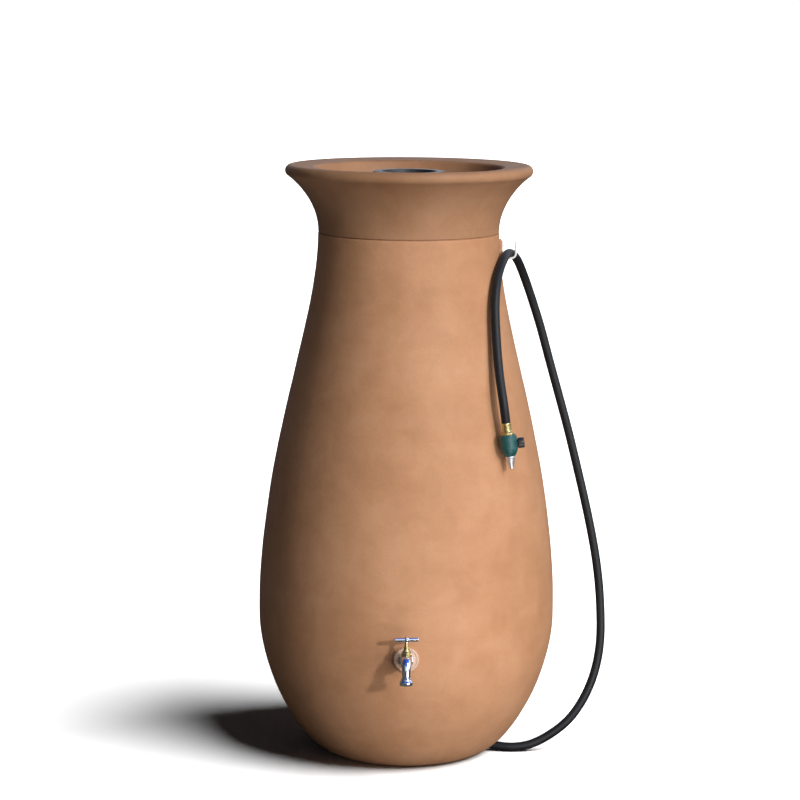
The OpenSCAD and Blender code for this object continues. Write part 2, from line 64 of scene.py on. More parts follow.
# Outline of the mouldings, as the frame's source has it
wall = 5 * MM
belly_z = 285 * MM
neck_r = 184 * MM
base_r = 158 * MM
seam_gap = 2.5 * MM
seam_depth = 3 * MM
lip_round = 12 * MM
bowl_r = 189 * MM
bowl_edge_round = 8 * MM
bowl_taper = 30 * MM
bowl_fillet = 10 * MM
bowl_floor_z = total_h - 122 * MM
collar_r = 61 * MM
collar_fillet = 5 * MM
collar_top_z = 1194 * MM
soil_drain_ring = 110 * MM

# The hose's route, from the drain outlet to the valve
HOSE_ROUTE = [
    (0.120, -0.035, 0.021), (0.144, -0.042, 0.0172), (0.168, -0.049, 0.0134),
    (0.192, -0.056, 0.0104), (0.222, -0.060, 0.0093), (0.254, -0.058, 0.013),
    (0.282, -0.054, 0.024), (0.308, -0.049, 0.039), (0.337, -0.042, 0.061),
    (0.358, -0.033, 0.086), (0.376, -0.024, 0.115), (0.391, -0.013, 0.150),
    (0.401, -0.002, 0.188), (0.406, 0.008, 0.229), (0.406, 0.019, 0.276),
    (0.403, 0.030, 0.330), (0.396, 0.041, 0.388), (0.385, 0.051, 0.448),
    (0.371, 0.061, 0.512), (0.355, 0.070, 0.578), (0.337, 0.079, 0.650),
    (0.317, 0.086, 0.722), (0.296, 0.091, 0.796), (0.276, 0.093, 0.868),
    (0.258, 0.089, 0.924), (0.244, 0.079, 0.964), (0.233, 0.064, 0.992),
    (0.224, 0.045, 1.013), (0.214, 0.023, 1.0266), (0.204, 0.000, 1.0322),
    (0.197, -0.026, 1.030), (0.191, -0.052, 1.023), (0.184, -0.077, 1.011),
    (0.178, -0.099, 0.993), (0.174, -0.117, 0.970), (0.172, -0.134, 0.934),
    (0.174, -0.149, 0.888), (0.177, -0.164, 0.844), (0.182, -0.181, 0.797),
    (0.189, -0.197, 0.753), (0.194, -0.200, 0.715),
]
hose_d = 18 * MM


def centre_of(node):
    """The middle of a CAD node's box."""
    low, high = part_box(node)
    return (low + high) / 2


def towards(origin, z_way, x_hint):
    """A frame at origin whose +Z is z_way and whose +X leans to x_hint."""
    z = Vector(z_way).normalized()
    x = (Vector(x_hint) - Vector(x_hint).dot(z) * z).normalized()
    y = z.cross(x)
    turn = Matrix((x, y, z)).transposed().to_4x4()
    return Matrix.Translation(Vector(origin)) @ turn


tap_face_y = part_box("tap_flange")[1].y
tap_axis_z = centre_of("tap_flange").z
chamber_y = centre_of("tap_bonnet").y
spout_y = next(m for m in frame["record"]["mounts"] if m["name"] == "tap_outlet")["pos_m"][1]
handle_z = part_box("tap_spindle")[1].z - 4.5 * MM
handle_turn = math.radians(6)

AT_TAP = towards((0, tap_face_y, tap_axis_z), (0, -1, 0), (1, 0, 0))
AT_CHAMBER = Matrix.Translation((0, chamber_y, tap_axis_z))
overflow_axis = centre_of("overflow_spout")


# ---- Outlines: lists of (radius, height) ----

def bezier(a, b, c, d, steps):
    """Points of a cubic curve after a, up to and with d."""
    made = []
    for i in range(1, steps + 1):
        t = i / steps
        s = 1 - t
        made.append(tuple(
            s * s * s * p + 3 * s * s * t * q + 3 * s * t * t * r + t * t * t * u
            for p, q, r, u in zip(a, b, c, d)
        ))
    return made


def arc(centre, radius, start, end, steps):
    """Points on a circle from one angle to another, in degrees."""
    made = []
    for i in range(steps + 1):
        angle = math.radians(start + (end - start) * i / steps)
        made.append((centre[0] + radius * math.cos(angle), centre[1] + radius * math.sin(angle)))
    return made


def inset(path, depth):
    """An outline moved to its left, which is inward for one that climbs the outside of a wall."""
    made = []
    for i, point in enumerate(path):
        before, after = path[max(i - 1, 0)], path[min(i + 1, len(path) - 1)]
        dx, dy = after[0] - before[0], after[1] - before[1]
        size = math.hypot(dx, dy)
        made.append((point[0] - depth * dy / size, point[1] + depth * dx / size))
    return made


def rounded(corners, steps=5):
    """An outline in mm of (radius, height, fillet) corners, with each fillet an arc, in metres."""
    made = []
    count = len(corners)
    for i, (r, z, fillet) in enumerate(corners):
        corner = Vector((r, z)) * MM
        if fillet == 0:
            made.append(tuple(corner))
            continue
        back = Vector(corners[i - 1][:2]) * MM - corner
        ahead = Vector(corners[(i + 1) % count][:2]) * MM - corner
        half = back.angle(ahead) / 2
        reach = min(fillet * MM / math.tan(half), 0.49 * back.length, 0.49 * ahead.length)
        radius = reach * math.tan(half)
        middle = corner + (back.normalized() + ahead.normalized()).normalized() * radius / math.sin(half)
        first = (corner + back.normalized() * reach - middle).normalized()
        last = (corner + ahead.normalized() * reach - middle).normalized()
        for k in range(steps + 1):
            made.append(tuple(middle + radius * first.slerp(last, k / steps)))
    return made


# ---- Mesh making ----

def added(name, data):
    """A new object of the data, in the scene."""
    obj = bpy.data.objects.new(name, data)
    bpy.context.scene.collection.objects.link(obj)
    return obj


def finished(bm, name, place=None):
    """An object of the bmesh, moved to its place, with its faces turned outward."""
    bmesh.ops.recalc_face_normals(bm, faces=bm.faces)
    mesh = bpy.data.meshes.new(name)
    bm.to_mesh(mesh)
    bm.free()
    if place is not None:
        mesh.transform(place)
    return added(name, mesh)


def skin(bm, rings, loop_rings):
    """Faces between rings of vertices; a ring of one vertex is a pole."""
    pairs = list(zip(rings, rings[1:]))
    if loop_rings:
        pairs.append((rings[-1], rings[0]))
    for low, high in pairs:
        if len(low) == 1 and len(high) == 1:
            continue
        count = max(len(low), len(high))
        for i in range(count):
            k = (i + 1) % count
            if len(low) == 1:
                bm.faces.new((low[0], high[k], high[i]))
            elif len(high) == 1:
                bm.faces.new((low[i], low[k], high[0]))
            else:
                bm.faces.new((low[i], low[k], high[k], high[i]))


def lathe(name, outline, sides=96, place=None, trim=None, phase=0.0):
    """Turns an outline round +Z. trim(radius, height, angle) can cut a radius back, for flutes and flats."""
    bm = bmesh.new()
    rings = []
    for r, z in outline:
        if r < 1e-6:
            rings.append([bm.verts.new((0, 0, z))])
            continue
        ring = []
        for i in range(sides):
            angle = TAU * i / sides + phase
            reach = trim(r, z, angle) if trim else r
            ring.append(bm.verts.new((reach * math.cos(angle), reach * math.sin(angle), z)))
        rings.append(ring)
    on_axis = outline[0][0] < 1e-6 and outline[-1][0] < 1e-6
    skin(bm, rings, loop_rings=not on_axis)
    return finished(bm, name, place)


def hexagon(flats):
    """A trim for a hexagon of that width across its flats, in mm."""
    def trim(r, z, angle):
        turn = (angle + math.pi / 6) % (math.pi / 3) - math.pi / 6
        return min(r, flats / 2 * MM / math.cos(turn))
    return trim


def smooth_line(points, gap):
    """A Catmull-Rom line through the points, with a step of about gap."""
    points = [Vector(p) for p in points]
    ends = [2 * points[0] - points[1], *points, 2 * points[-1] - points[-2]]
    line = []
    for i in range(len(points) - 1):
        a, b, c, d = ends[i:i + 4]
        steps = max(1, math.ceil((c - b).length / gap))
        for k in range(steps):
            t = k / steps
            line.append(0.5 * (2 * b + t * (c - a) + t * t * (2 * a - 5 * b + 4 * c - d)
                               + t * t * t * (3 * b - a - 3 * c + d)))
    line.append(points[-1])
    return line


def tube(name, line, radius, sides=32, place=None):
    """A closed tube along a line. radius is a number, or a function of the share of the way along."""
    bm = bmesh.new()
    rings = []
    side = None
    for i, point in enumerate(line):
        way = (line[min(i + 1, len(line) - 1)] - line[max(i - 1, 0)]).normalized()
        side = way.orthogonal() if side is None else side
        side = (side - side.dot(way) * way).normalized()
        other = way.cross(side)
        r = radius(i / (len(line) - 1)) if callable(radius) else radius
        ring = []
        for k in range(sides):
            angle = TAU * k / sides
            ring.append(bm.verts.new(point + r * (math.cos(angle) * side + math.sin(angle) * other)))
        rings.append(ring)
    skin(bm, rings, loop_rings=False)
    bm.faces.new(rings[0])
    bm.faces.new(rings[-1])
    return finished(bm, name, place)


def block(name, low, high, round_by=0.0, steps=3, place=None):
    """A box from corner to corner with rounded edges."""
    bm = bmesh.new()
    bmesh.ops.create_cube(bm, size=1)
    low, high = Vector(low), Vector(high)
    for v in bm.verts:
        v.co = Vector(low[i] + (v.co[i] + 0.5) * (high[i] - low[i]) for i in range(3))
    if round_by:
        bmesh.ops.bevel(bm, geom=list(bm.edges), offset=round_by, segments=steps, profile=0.5,
                        affect="EDGES")
    return finished(bm, name, place)


def prism(name, outline, length, place=None):
    """A flat outline of (x, y) points pulled along +Z."""
    bm = bmesh.new()
    rings = []
    for z in (0, length):
        rings.append([bm.verts.new((x, y, z)) for x, y in outline])
    skin(bm, rings, loop_rings=False)
    bm.faces.new(rings[0])
    bm.faces.new(rings[1])
    return finished(bm, name, place)


def cable(name, lines, radius, resolution):
    """A curve with a round section along each of the lines."""
    curve = bpy.data.curves.new(name, "CURVE")
    curve.dimensions = "3D"
    curve.bevel_depth = radius
    curve.bevel_resolution = resolution
    curve.use_fill_caps = True
    for line in lines:
        spline = curve.splines.new("POLY")
        spline.points.add(len(line) - 1)
        for point, spot in zip(spline.points, line):
            point.co = (*spot, 1)
    return added(name, curve)


def bake(obj):
    """Applies the object's modifiers to its mesh."""
    graph = bpy.context.evaluated_depsgraph_get()
    mesh = bpy.data.meshes.new_from_object(obj.evaluated_get(graph))
    obj.modifiers.clear()
    old = obj.data
    obj.data = mesh
    bpy.data.meshes.remove(old)


def boolean(obj, tools, operation):
    """Cuts the tools from obj, or joins them to it, and removes them."""
    for tool in tools:
        step = obj.modifiers.new("solid", "BOOLEAN")
        step.object = tool
        step.operation = operation
        step.solver = "EXACT"
    bake(obj)
    for tool in tools:
        bpy.data.objects.remove(tool)
    return obj


def cast(name, parts, voxel, rounds):
    """One casting of overlapping solids, with soft fillets where they meet."""
    bm = bmesh.new()
    for part in parts:
        bm.from_mesh(part.data)
        bpy.data.objects.remove(part)
    obj = finished(bm, name)
    remesh = obj.modifiers.new("remesh", "REMESH")
    remesh.mode = "VOXEL"
    remesh.voxel_size = voxel
    soften = obj.modifiers.new("soften", "SMOOTH")
    soften.factor = 0.5
    soften.iterations = rounds
    bake(obj)
    return obj


def shade(obj, sharp=32):
    """Smooth shading, with edges sharper than that many degrees kept."""
    mesh = obj.data
    mesh.polygons.foreach_set("use_smooth", [True] * len(mesh.polygons))
    mesh.set_sharp_from_angle(angle=math.radians(sharp))
    return obj


def borrow_normals(obj, source, reach):
    """Gives corners on the source's surface its smooth normals, so that cut faces don't show."""
    faces = BVHTree.FromObject(source, bpy.context.evaluated_depsgraph_get())
    mesh, base = obj.data, source.data
    normals = [Vector(c.vector) for c in mesh.corner_normals]
    for face in mesh.polygons:
        for corner in face.loop_indices:
            point = mesh.vertices[mesh.loops[corner].vertex_index].co
            place, flat, index, distance = faces.find_nearest(point)
            if distance > reach or flat.dot(face.normal) < 0.96:
                continue
            near = base.polygons[index]
            weighted = Vector((0, 0, 0))
            for v in near.vertices:
                gap = (base.vertices[v].co - place).length + 1e-5
                weighted += base.vertices[v].normal / gap ** 2
            normals[corner] = weighted.normalized()
    mesh.normals_split_custom_set([tuple(n) for n in normals])


def put(obj, body, slot, material, *stands_for):
    """Finishes a piece: its material, its body and the CAD nodes that it stands for. slot is not used."""
    obj.data.materials.clear()
    obj.data.materials.append(material)
    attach(obj, body)
    if stands_for:
        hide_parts(*stands_for)
    return obj


# ---- Materials ----

def add_node(tree, kind, **inputs):
    """A new node, its inputs linked or set; an underscore stands for a space in an input's name."""
    node = tree.nodes.new(kind)
    feed(tree, node, **inputs)
    return node


def feed(tree, node, **inputs):
    """Links a node's inputs to sockets, or sets their values."""
    for name, value in inputs.items():
        socket = node.inputs[name.replace("_", " ")]
        if isinstance(value, bpy.types.NodeSocket):
            tree.links.new(value, socket)
        else:
            socket.default_value = value


class Nodes:
    """A new material's node tree, with short ways to add to it."""

    def __init__(self, name):
        self.material = bpy.data.materials.new(name)
        self.material.use_nodes = True
        self.tree = self.material.node_tree
        self.shader = self.tree.nodes["Principled BSDF"]
        self.here = self.add("ShaderNodeTexCoord").outputs["Object"]

    def set(self, **inputs):
        feed(self.tree, self.shader, **inputs)

    def add(self, kind, **inputs):
        return add_node(self.tree, kind, **inputs)

    def stretched(self, x, y, z):
        return self.add("ShaderNodeMapping", Vector=self.here, Scale=(x, y, z)).outputs["Vector"]

    def noise(self, scale, detail=4.0, rough=0.55, twist=0.0, where=None):
        return self.add("ShaderNodeTexNoise", Vector=where or self.here, Scale=scale, Detail=detail,
                        Roughness=rough, Distortion=twist).outputs["Fac"]

    def cells(self, scale):
        return self.add("ShaderNodeTexVoronoi", Vector=self.here, Scale=scale).outputs["Distance"]

    def height(self):
        return self.add("ShaderNodeSeparateXYZ", Vector=self.here).outputs["Z"]

    def span(self, value, low, high, to_low=0.0, to_high=1.0):
        return self.add("ShaderNodeMapRange", Value=value, From_Min=low, From_Max=high, To_Min=to_low,
                        To_Max=to_high).outputs["Result"]

    def ramp(self, value, *stops):
        node = self.add("ShaderNodeValToRGB", Fac=value)
        line = node.color_ramp.elements
        while len(line) < len(stops):
            line.new(0.5)
        for element, (place, colour) in zip(line, stops):
            element.position = place
            element.color = (*colour, 1.0)
        return node.outputs["Color"]

    def sum(self, a, b, operation="ADD"):
        node = self.add("ShaderNodeMath")
        node.operation = operation
        self.fill(node, (0, a), (1, b))
        return node.outputs[0]

    def mix(self, share, a, b, blend="MIX"):
        node = self.add("ShaderNodeMix")
        node.data_type = "RGBA"
        node.blend_type = blend
        self.fill(node, (0, share), (6, a), (7, b))
        return node.outputs[2]

    def fill(self, node, *inputs):
        """Links or sets inputs by their number; a colour may come without its alpha."""
        for socket, value in inputs:
            if isinstance(value, bpy.types.NodeSocket):
                self.tree.links.new(value, node.inputs[socket])
            else:
                node.inputs[socket].default_value = (*value, 1.0) if isinstance(value, tuple) else value

    def bump(self, height, strength, distance, over=None):
        below = {} if over is None else {"Normal": over}
        return self.add("ShaderNodeBump", Height=height, Strength=strength, Distance=distance,
                        **below).outputs["Normal"]


def terracotta(name, dark, mid, light, pale):
    """Matte moulded terracotta colour: clouded, speckled and a little dusty, with a fine grain."""
    n = Nodes(name)
    clouds = n.noise(4.2, 5, 0.62, 0.4)
    blotches = n.noise(17, 6, 0.62, 0.5)
    tone = n.sum(n.sum(clouds, 0.55, "MULTIPLY"), n.sum(blotches, 0.45, "MULTIPLY"))
    colour = n.ramp(tone, (0.37, dark), (0.5, mid), (0.62, light))
    rings = n.noise(11, 4, 0.55, 0.0, n.stretched(0.22, 0.22, 4.0))
    colour = n.mix(n.span(rings, 0.38, 0.7, 0.0, 0.12), colour, pale)
    dust = n.span(n.noise(6.5, 8, 0.68, 0.8), 0.56, 0.78, 0.0, 0.30)
    colour = n.mix(dust, colour, pale)
    foot = n.span(n.height(), 0.0, 0.12, 0.26, 0.0)
    scuff = n.sum(foot, n.span(n.noise(30, 6, 0.7), 0.4, 0.65), "MULTIPLY")
    colour = n.mix(scuff, colour, tuple(0.62 * c for c in dark))
    grain = n.noise(560, 3, 0.7)
    pits = n.ramp(grain, (0.36, (0.80, 0.79, 0.78)), (0.66, (1.0, 1.0, 1.0)))
    colour = n.mix(0.5, colour, pits, "MULTIPLY")
    specks = n.span(n.cells(120), 0.05, 0.11)
    colour = n.mix(n.span(specks, 0.0, 1.0, 0.30, 0.0), colour, tuple(0.55 * c for c in dark))
    peel = n.noise(95, 4, 0.6)
    shape = n.bump(peel, 0.16, 0.0022)
    shape = n.bump(grain, 0.20, 0.0005, shape)
    shape = n.bump(specks, 0.25, 0.0003, shape)
    n.set(Base_Color=colour, Roughness=n.span(blotches, 0.3, 0.7, 0.54, 0.70), Normal=shape,
          Specular_IOR_Level=0.25)
    return n.material


def plastic(name, colour, lighter, rough=0.42, grain=420, depth=0.00025):
    """Moulded plastic with a fine texture, scuffed a little lighter."""
    n = Nodes(name)
    scuff = n.span(n.noise(60, 7, 0.7), 0.5, 0.72)
    fine = n.noise(grain, 4, 0.6)
    n.set(Base_Color=n.mix(n.sum(scuff, 0.5, "MULTIPLY"), colour, lighter),
          Roughness=n.span(n.noise(38, 6, 0.65), 0.3, 0.7, rough - 0.08, rough + 0.12),
          Normal=n.bump(fine, 0.35, depth))
    return n.material


def chrome():
    """Polished chrome plate, with faint smears and a little water spotting, tinted blue: partly the plate's cool
    tone, partly a painted reflection of blue sky.
    """
    n = Nodes("chrome")
    smears = n.noise(70, 6, 0.65, 0.6)
    spots = n.span(n.cells(420), 0.12, 0.2)
    rough = n.sum(n.span(smears, 0.35, 0.75, 0.035, 0.16), n.span(spots, 0.0, 1.0, 0.08, 0.0))
    # Blue tint of the plate: partly its own cool tone, partly a painted reflection of blue sky.
    cool_tone_and_painted_sky = n.ramp(smears, (0.3, (0.66, 0.72, 0.82)), (0.7, (0.80, 0.84, 0.90)))
    n.set(Base_Color=cool_tone_and_painted_sky, Metallic=1.0, Roughness=rough, Normal=n.bump(n.noise(150, 2), 0.06, 0.0004))
    return n.material


def brass():
    """Machined brass, warm, with tarnish in patches and fine tool lines."""
    n = Nodes("brass")
    tarnish = n.span(n.noise(120, 7, 0.7, 0.4), 0.42, 0.68)
    lines = n.noise(60, 3, 0.5, 0.0, n.stretched(2, 2, 60))
    n.set(Base_Color=n.mix(tarnish, (0.64, 0.53, 0.24), (0.35, 0.27, 0.10)), Metallic=1.0,
          Roughness=n.span(tarnish, 0.0, 1.0, 0.24, 0.50), Normal=n.bump(lines, 0.22, 0.0003))
    return n.material


def metal(name, bright, dull, rough, brush=(1, 1, 50)):
    """Plated or cast metal with fine brushed lines and dull patches."""
    n = Nodes(name)
    dulling = n.span(n.noise(140, 6, 0.7), 0.4, 0.7)
    lines = n.noise(40, 3, 0.5, 0.0, n.stretched(*brush))
    n.set(Base_Color=n.mix(dulling, bright, dull), Metallic=1.0,
          Roughness=n.span(dulling, 0.0, 1.0, rough, rough + 0.16), Normal=n.bump(lines, 0.18, 0.0003))
    return n.material


def rubber(name, colour, dusty, rough):
    """Black rubber with a dry bloom of dust and a fine skin."""
    n = Nodes(name)
    bloom = n.span(n.noise(26, 7, 0.68, 0.3), 0.42, 0.72)
    fine = n.noise(900, 3, 0.6)
    n.set(Base_Color=n.mix(bloom, colour, dusty), Roughness=n.span(bloom, 0.0, 1.0, rough, rough + 0.14),
          Normal=n.bump(fine, 0.3, 0.0002), Specular_IOR_Level=0.32)
    return n.material


def enamel():
    """Dark blue-green enamel on a casting, worn a little on its high spots."""
    n = Nodes("green_enamel")
    shade_of = n.noise(90, 5, 0.6)
    worn = n.span(n.noise(260, 6, 0.75, 0.2), 0.66, 0.74)
    colour = n.ramp(shade_of, (0.3, (0.006, 0.055, 0.056)), (0.7, (0.014, 0.098, 0.100)))
    colour = n.mix(n.sum(worn, 0.5, "MULTIPLY"), colour, (0.10, 0.22, 0.20))
    n.set(Base_Color=colour, Roughness=n.span(shade_of, 0.3, 0.7, 0.38, 0.52),
          Normal=n.bump(n.noise(330, 4, 0.6), 0.25, 0.0003), Coat_Weight=0.1, Coat_Roughness=0.3)
    return n.material


def paint():
    """White powder coat, lightly dimpled, with small rust-brown chips."""
    n = Nodes("white_paint")
    chips = n.span(n.noise(330, 6, 0.75), 0.70, 0.74)
    n.set(Base_Color=n.mix(n.sum(chips, 0.7, "MULTIPLY"), (0.82, 0.82, 0.80), (0.34, 0.24, 0.17)),
          Roughness=n.span(n.noise(80, 4), 0.3, 0.7, 0.30, 0.45), Normal=n.bump(n.noise(500, 3), 0.3, 0.0003))
    return n.material


# ---- Mouldings ----

def near(point, spot, reach):
    """0 at the spot, 1 beyond reach from it, eased."""
    share = min(1.0, (Vector(point) - Vector(spot)).length / reach)
    return share * share * (3 - 2 * share)


def ripple(obj, low, high, calm_spots):
    """Gives a moulding the slight waviness of a thick plastic wall, and none at its ends or fittings."""
    for v in obj.data.vertices:
        out = math.hypot(v.co.x, v.co.y)
        if out < 0.1:
            continue
        ends = min(1.0, max(0.0, (v.co.z - low) / 0.06), max(0.0, (high - v.co.z) / 0.04))
        swell = 0.8 * noise.noise(v.co * 7.0) + 0.3 * noise.noise(v.co * 19.0)
        for spot in calm_spots:
            ends *= near(v.co, spot, 0.06)
        grow = (out + swell * MM * ends) / out
        v.co.x *= grow
        v.co.y *= grow
    obj.data.update()


overflow_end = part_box("overflow_spout")[1].y
overflow_face = overflow_end - 42 * MM
overflow_z = overflow_axis.z
hook_low, hook_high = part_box("hose_hook")
hook_face = hook_low.x
tap_spot = (0, tap_face_y, tap_axis_z)
overflow_spot = (0, overflow_face, overflow_z)
hook_spot = (hook_face, 0, (hook_low.z + hook_high.z) / 2)
AT_OVERFLOW = towards(overflow_spot, (0, 1, 0), (1, 0, 0))

outlet_way = (Vector(HOSE_ROUTE[1]) - Vector(HOSE_ROUTE[0])).normalized()
AT_OUTLET = towards(HOSE_ROUTE[0], outlet_way, (-outlet_way.y, outlet_way.x, 0))
niche_r = 14 * MM
niche_back = -21 * MM
niche_len = 170 * MM


def barrel_line():
    """The outside of the barrel, from the edge of its base to the top of its neck."""
    base, belly, neck = (base_r, 0.0), (belly_r, belly_z), (neck_r, seam_z)
    lower = bezier(base, (base_r + 57 * MM, 0.0), (belly_r, belly_z - 125 * MM), belly, 34)
    upper = bezier(belly, (belly_r, belly_z + 340 * MM), (neck_r, seam_z - 186 * MM), neck, 80)
    return [base, *lower, *upper]


def slot_shape(name, grow, back, length):
    """The round-topped slot that the hose leaves the foot through."""
    reach = niche_r + grow
    outline = arc((0, 0), reach, 0, 180, 20) + [(-reach, -60 * MM), (reach, -60 * MM)]
    return prism(name, outline, length, AT_OUTLET @ Matrix.Translation((0, 0, back)))


def plug(name, radius, low, high, place=None, edge=0.0, sides=96):
    """A cylinder from low to high along its place's +Z, in mm, with a rounded far edge."""
    outline = rounded([(0, low, 0), (radius, low, 0), (radius, high, edge), (0, high, 0)])
    return lathe(name, outline, sides, place)


def make_barrel(material):
    line = barrel_line()
    side = [p for p in line if p[1] < seam_z - 3 * MM]
    rim = arc((neck_r - 1.5 * MM, seam_z - 1.5 * MM), 1.5 * MM, 0, 90, 5)
    body = lathe("barrel_shell", [(0.0, 0.0), *side, *rim, (0.0, seam_z)], 256)
    ripple(body, 0.03, seam_z - 0.01, [tap_spot, overflow_spot, hook_spot])
    smooth = added("smooth", body.data.copy())
    hook_pad = block("hook_pad", (hook_face - 30 * MM, -12 * MM, 1001 * MM), (hook_face, 12 * MM, 1059 * MM),
                     1.2 * MM)
    pads = [
        plug("tap_pad", 27, -30, 0, AT_TAP, 0.8),
        plug("overflow_pad", 25, -30, 0, AT_OVERFLOW, 1.2),
        hook_pad,
    ]
    boolean(body, pads, "UNION")
    inside = [p for p in inset(line, wall) if p[1] < seam_z - 1 * MM]
    past_top = seam_z + 1 * MM
    cavity = lathe("cavity", [(0.0, wall), *inside, (neck_r - wall, past_top), (0.0, past_top)], 192)
    lumps = [
        slot_shape("niche_wall", wall, niche_back - wall, niche_len + wall),
        plug("tap_boss", 27, -11, 0, AT_TAP),
        plug("overflow_boss", 25, -15, 0, AT_OVERFLOW),
        plug("hook_boss", 7, -9.3, 0, on_hook(0, hook_screws_z[0]), sides=32),
    ]
    boolean(cavity, lumps, "DIFFERENCE")
    cuts = [
        cavity,
        slot_shape("niche", 0.0, niche_back, niche_len),
        plug("outlet_hole", 9.8, -30, -15, AT_OUTLET),
        plug("tap_hole", 10.7, -20, 2, AT_TAP),
        plug("overflow_hole", 15, -30, 2, AT_OVERFLOW),
    ]
    boolean(body, cuts, "DIFFERENCE")
    shade(body, 38)
    borrow_normals(body, smooth, 0.02 * MM)
    bpy.data.objects.remove(smooth)
    put(body, "barrel", "terracotta_body", material, "barrel_body")


def planter_line():
    """The outside of the planter top, over its lip, down the bowl and up the collar."""
    foot = (neck_r - 0.5 * MM, seam_z + seam_gap)
    lip = (lip_r - lip_round, total_h - lip_round)
    turn = math.radians(-55)
    start = (lip[0] + lip_round * math.cos(turn), lip[1] + lip_round * math.sin(turn))
    way = (-math.sin(turn), math.cos(turn))
    lead = (start[0] - 18 * MM * way[0], start[1] - 18 * MM * way[1])
    flare = bezier(foot, (foot[0], foot[1] + 60 * MM), lead, start, 44)
    edge = (bowl_r + bowl_edge_round, total_h - 4 * MM - bowl_edge_round)
    bend = (bowl_r - bowl_taper - bowl_fillet, bowl_floor_z + bowl_fillet)
    collar = (collar_r + wall + collar_fillet, bowl_floor_z + collar_fillet)
    return [
        foot, *flare,
        *arc(lip, lip_round, -48, 90, 18),
        *arc(edge, bowl_edge_round, 90, 165, 9),
        *arc(bend, bowl_fillet, -15, -90, 9),
        *arc(collar, collar_fillet, -90, -180, 7),
        (collar_r + wall, collar_top_z - 1 * MM),
    ]


def make_planter(material):
    line = planter_line()
    under = inset(line, wall)
    top = arc((collar_r + wall / 2, collar_top_z - wall / 2), wall / 2, 0, 180, 8)
    outline = [*line[:-1], *top, *reversed(under[:-1])]
    shell = lathe("planter_bowl", outline, 256)
    ripple(shell, seam_z + 0.005, total_h + 0.05, [])
    skirt_r = neck_r - wall - 0.5 * MM
    low = seam_z - 32 * MM
    skirt = lathe("skirt", [
        (skirt_r - wall, low), (skirt_r, low), (skirt_r, seam_z), (neck_r - seam_depth, seam_z),
        (neck_r - seam_depth, seam_z + seam_gap), (neck_r - 2 * MM, seam_z + seam_gap),
        (neck_r - 2 * MM, seam_z + seam_gap + 8 * MM), (skirt_r - 3 * MM, seam_z + seam_gap + 8 * MM),
        (skirt_r - wall, seam_z + seam_gap + 3 * MM),
    ], 256)
    boolean(shell, [skirt], "UNION")
    holes = []
    for x, y in arc((0, 0), soil_drain_ring, 30, 330, 5):
        holes.append(plug("hole", 4, -8, 3, Matrix.Translation((x, y, bowl_floor_z)), sides=32))
    boolean(shell, holes, "DIFFERENCE")
    shade(shell, 38)
    # Its material is a darker copy of the body's terracotta: painted shade for the shade under the lip.
    put(shell, "planter", "terracotta_top", material, "planter_top")


# ---- Inlet screen ----

def make_screen(frame_material, mesh_material):
    low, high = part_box("screen_frame")
    mesh_low, mesh_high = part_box("screen_mesh")
    floor, top = low.z / MM, high.z / MM
    seat = mesh_low.z / MM
    basket = lathe("screen_basket", rounded([
        (51, floor, 0.4), (60.4, floor, 0.8), (60.4, top - 3, 0.6), (73, top - 3, 0.5), (73, top, 1.4),
        (56, top, 1.2), (56, seat + 1, 0), (54.1, seat + 1, 0), (54.1, seat, 0), (51, seat, 0.3),
    ]), 144)
    ribs = []
    for i in range(4):
        turn = Matrix.Rotation(math.radians(45 * i), 4, "Z")
        ribs.append(block(f"rib_{i}", (-57 * MM, -1.5 * MM, low.z), (57 * MM, 1.5 * MM, mesh_low.z),
                          0.5 * MM, 2, turn))
    boolean(basket, ribs, "UNION")
    put(shade(basket), "screen", "black_plastic", frame_material, "screen_frame")

    wires = []
    wire_r = 0.34 * MM
    weave = 0.36 * MM
    pitch = 2.9 * MM
    edge = mesh_high.x - 0.3 * MM
    middle = (mesh_low.z + mesh_high.z) / 2
    count = int(edge / pitch)
    for across in (0, 1):
        for i in range(-count, count + 1):
            offset = i * pitch
            half = math.sqrt(edge ** 2 - offset ** 2)
            steps = max(2, round(4 * half / pitch))
            wire = []
            for k in range(steps + 1):
                along = -half + 2 * half * k / steps
                lift = weave * math.cos(math.pi * (along / pitch + i + across))
                wire.append((along, offset, middle + lift) if across else (offset, along, middle - lift))
            wires.append(wire)
    put(cable("woven_mesh", wires, wire_r, 1), "screen", "steel_mesh", mesh_material, "screen_mesh")


# ---- Tap ----

def nut_outline(flats, bore, low, high):
    """A ring for a chamfered hexagon nut, in mm, to be trimmed to its flats."""
    corner = flats / 2 / math.cos(math.pi / 6)
    slope = 0.45 * (corner - flats / 2)
    edge = [(flats / 2 - 0.3 + share * (corner - flats / 2 + 0.3), share ** 1.4 * slope)
            for share in (0, 0.25, 0.5, 0.75, 1)]
    lower = [(r, low + dz) for r, dz in edge]
    upper = [(r, high - dz) for r, dz in reversed(edge)]
    return [(r * MM, z * MM) for r, z in [(bore, low), *lower, *upper, (bore, high)]]


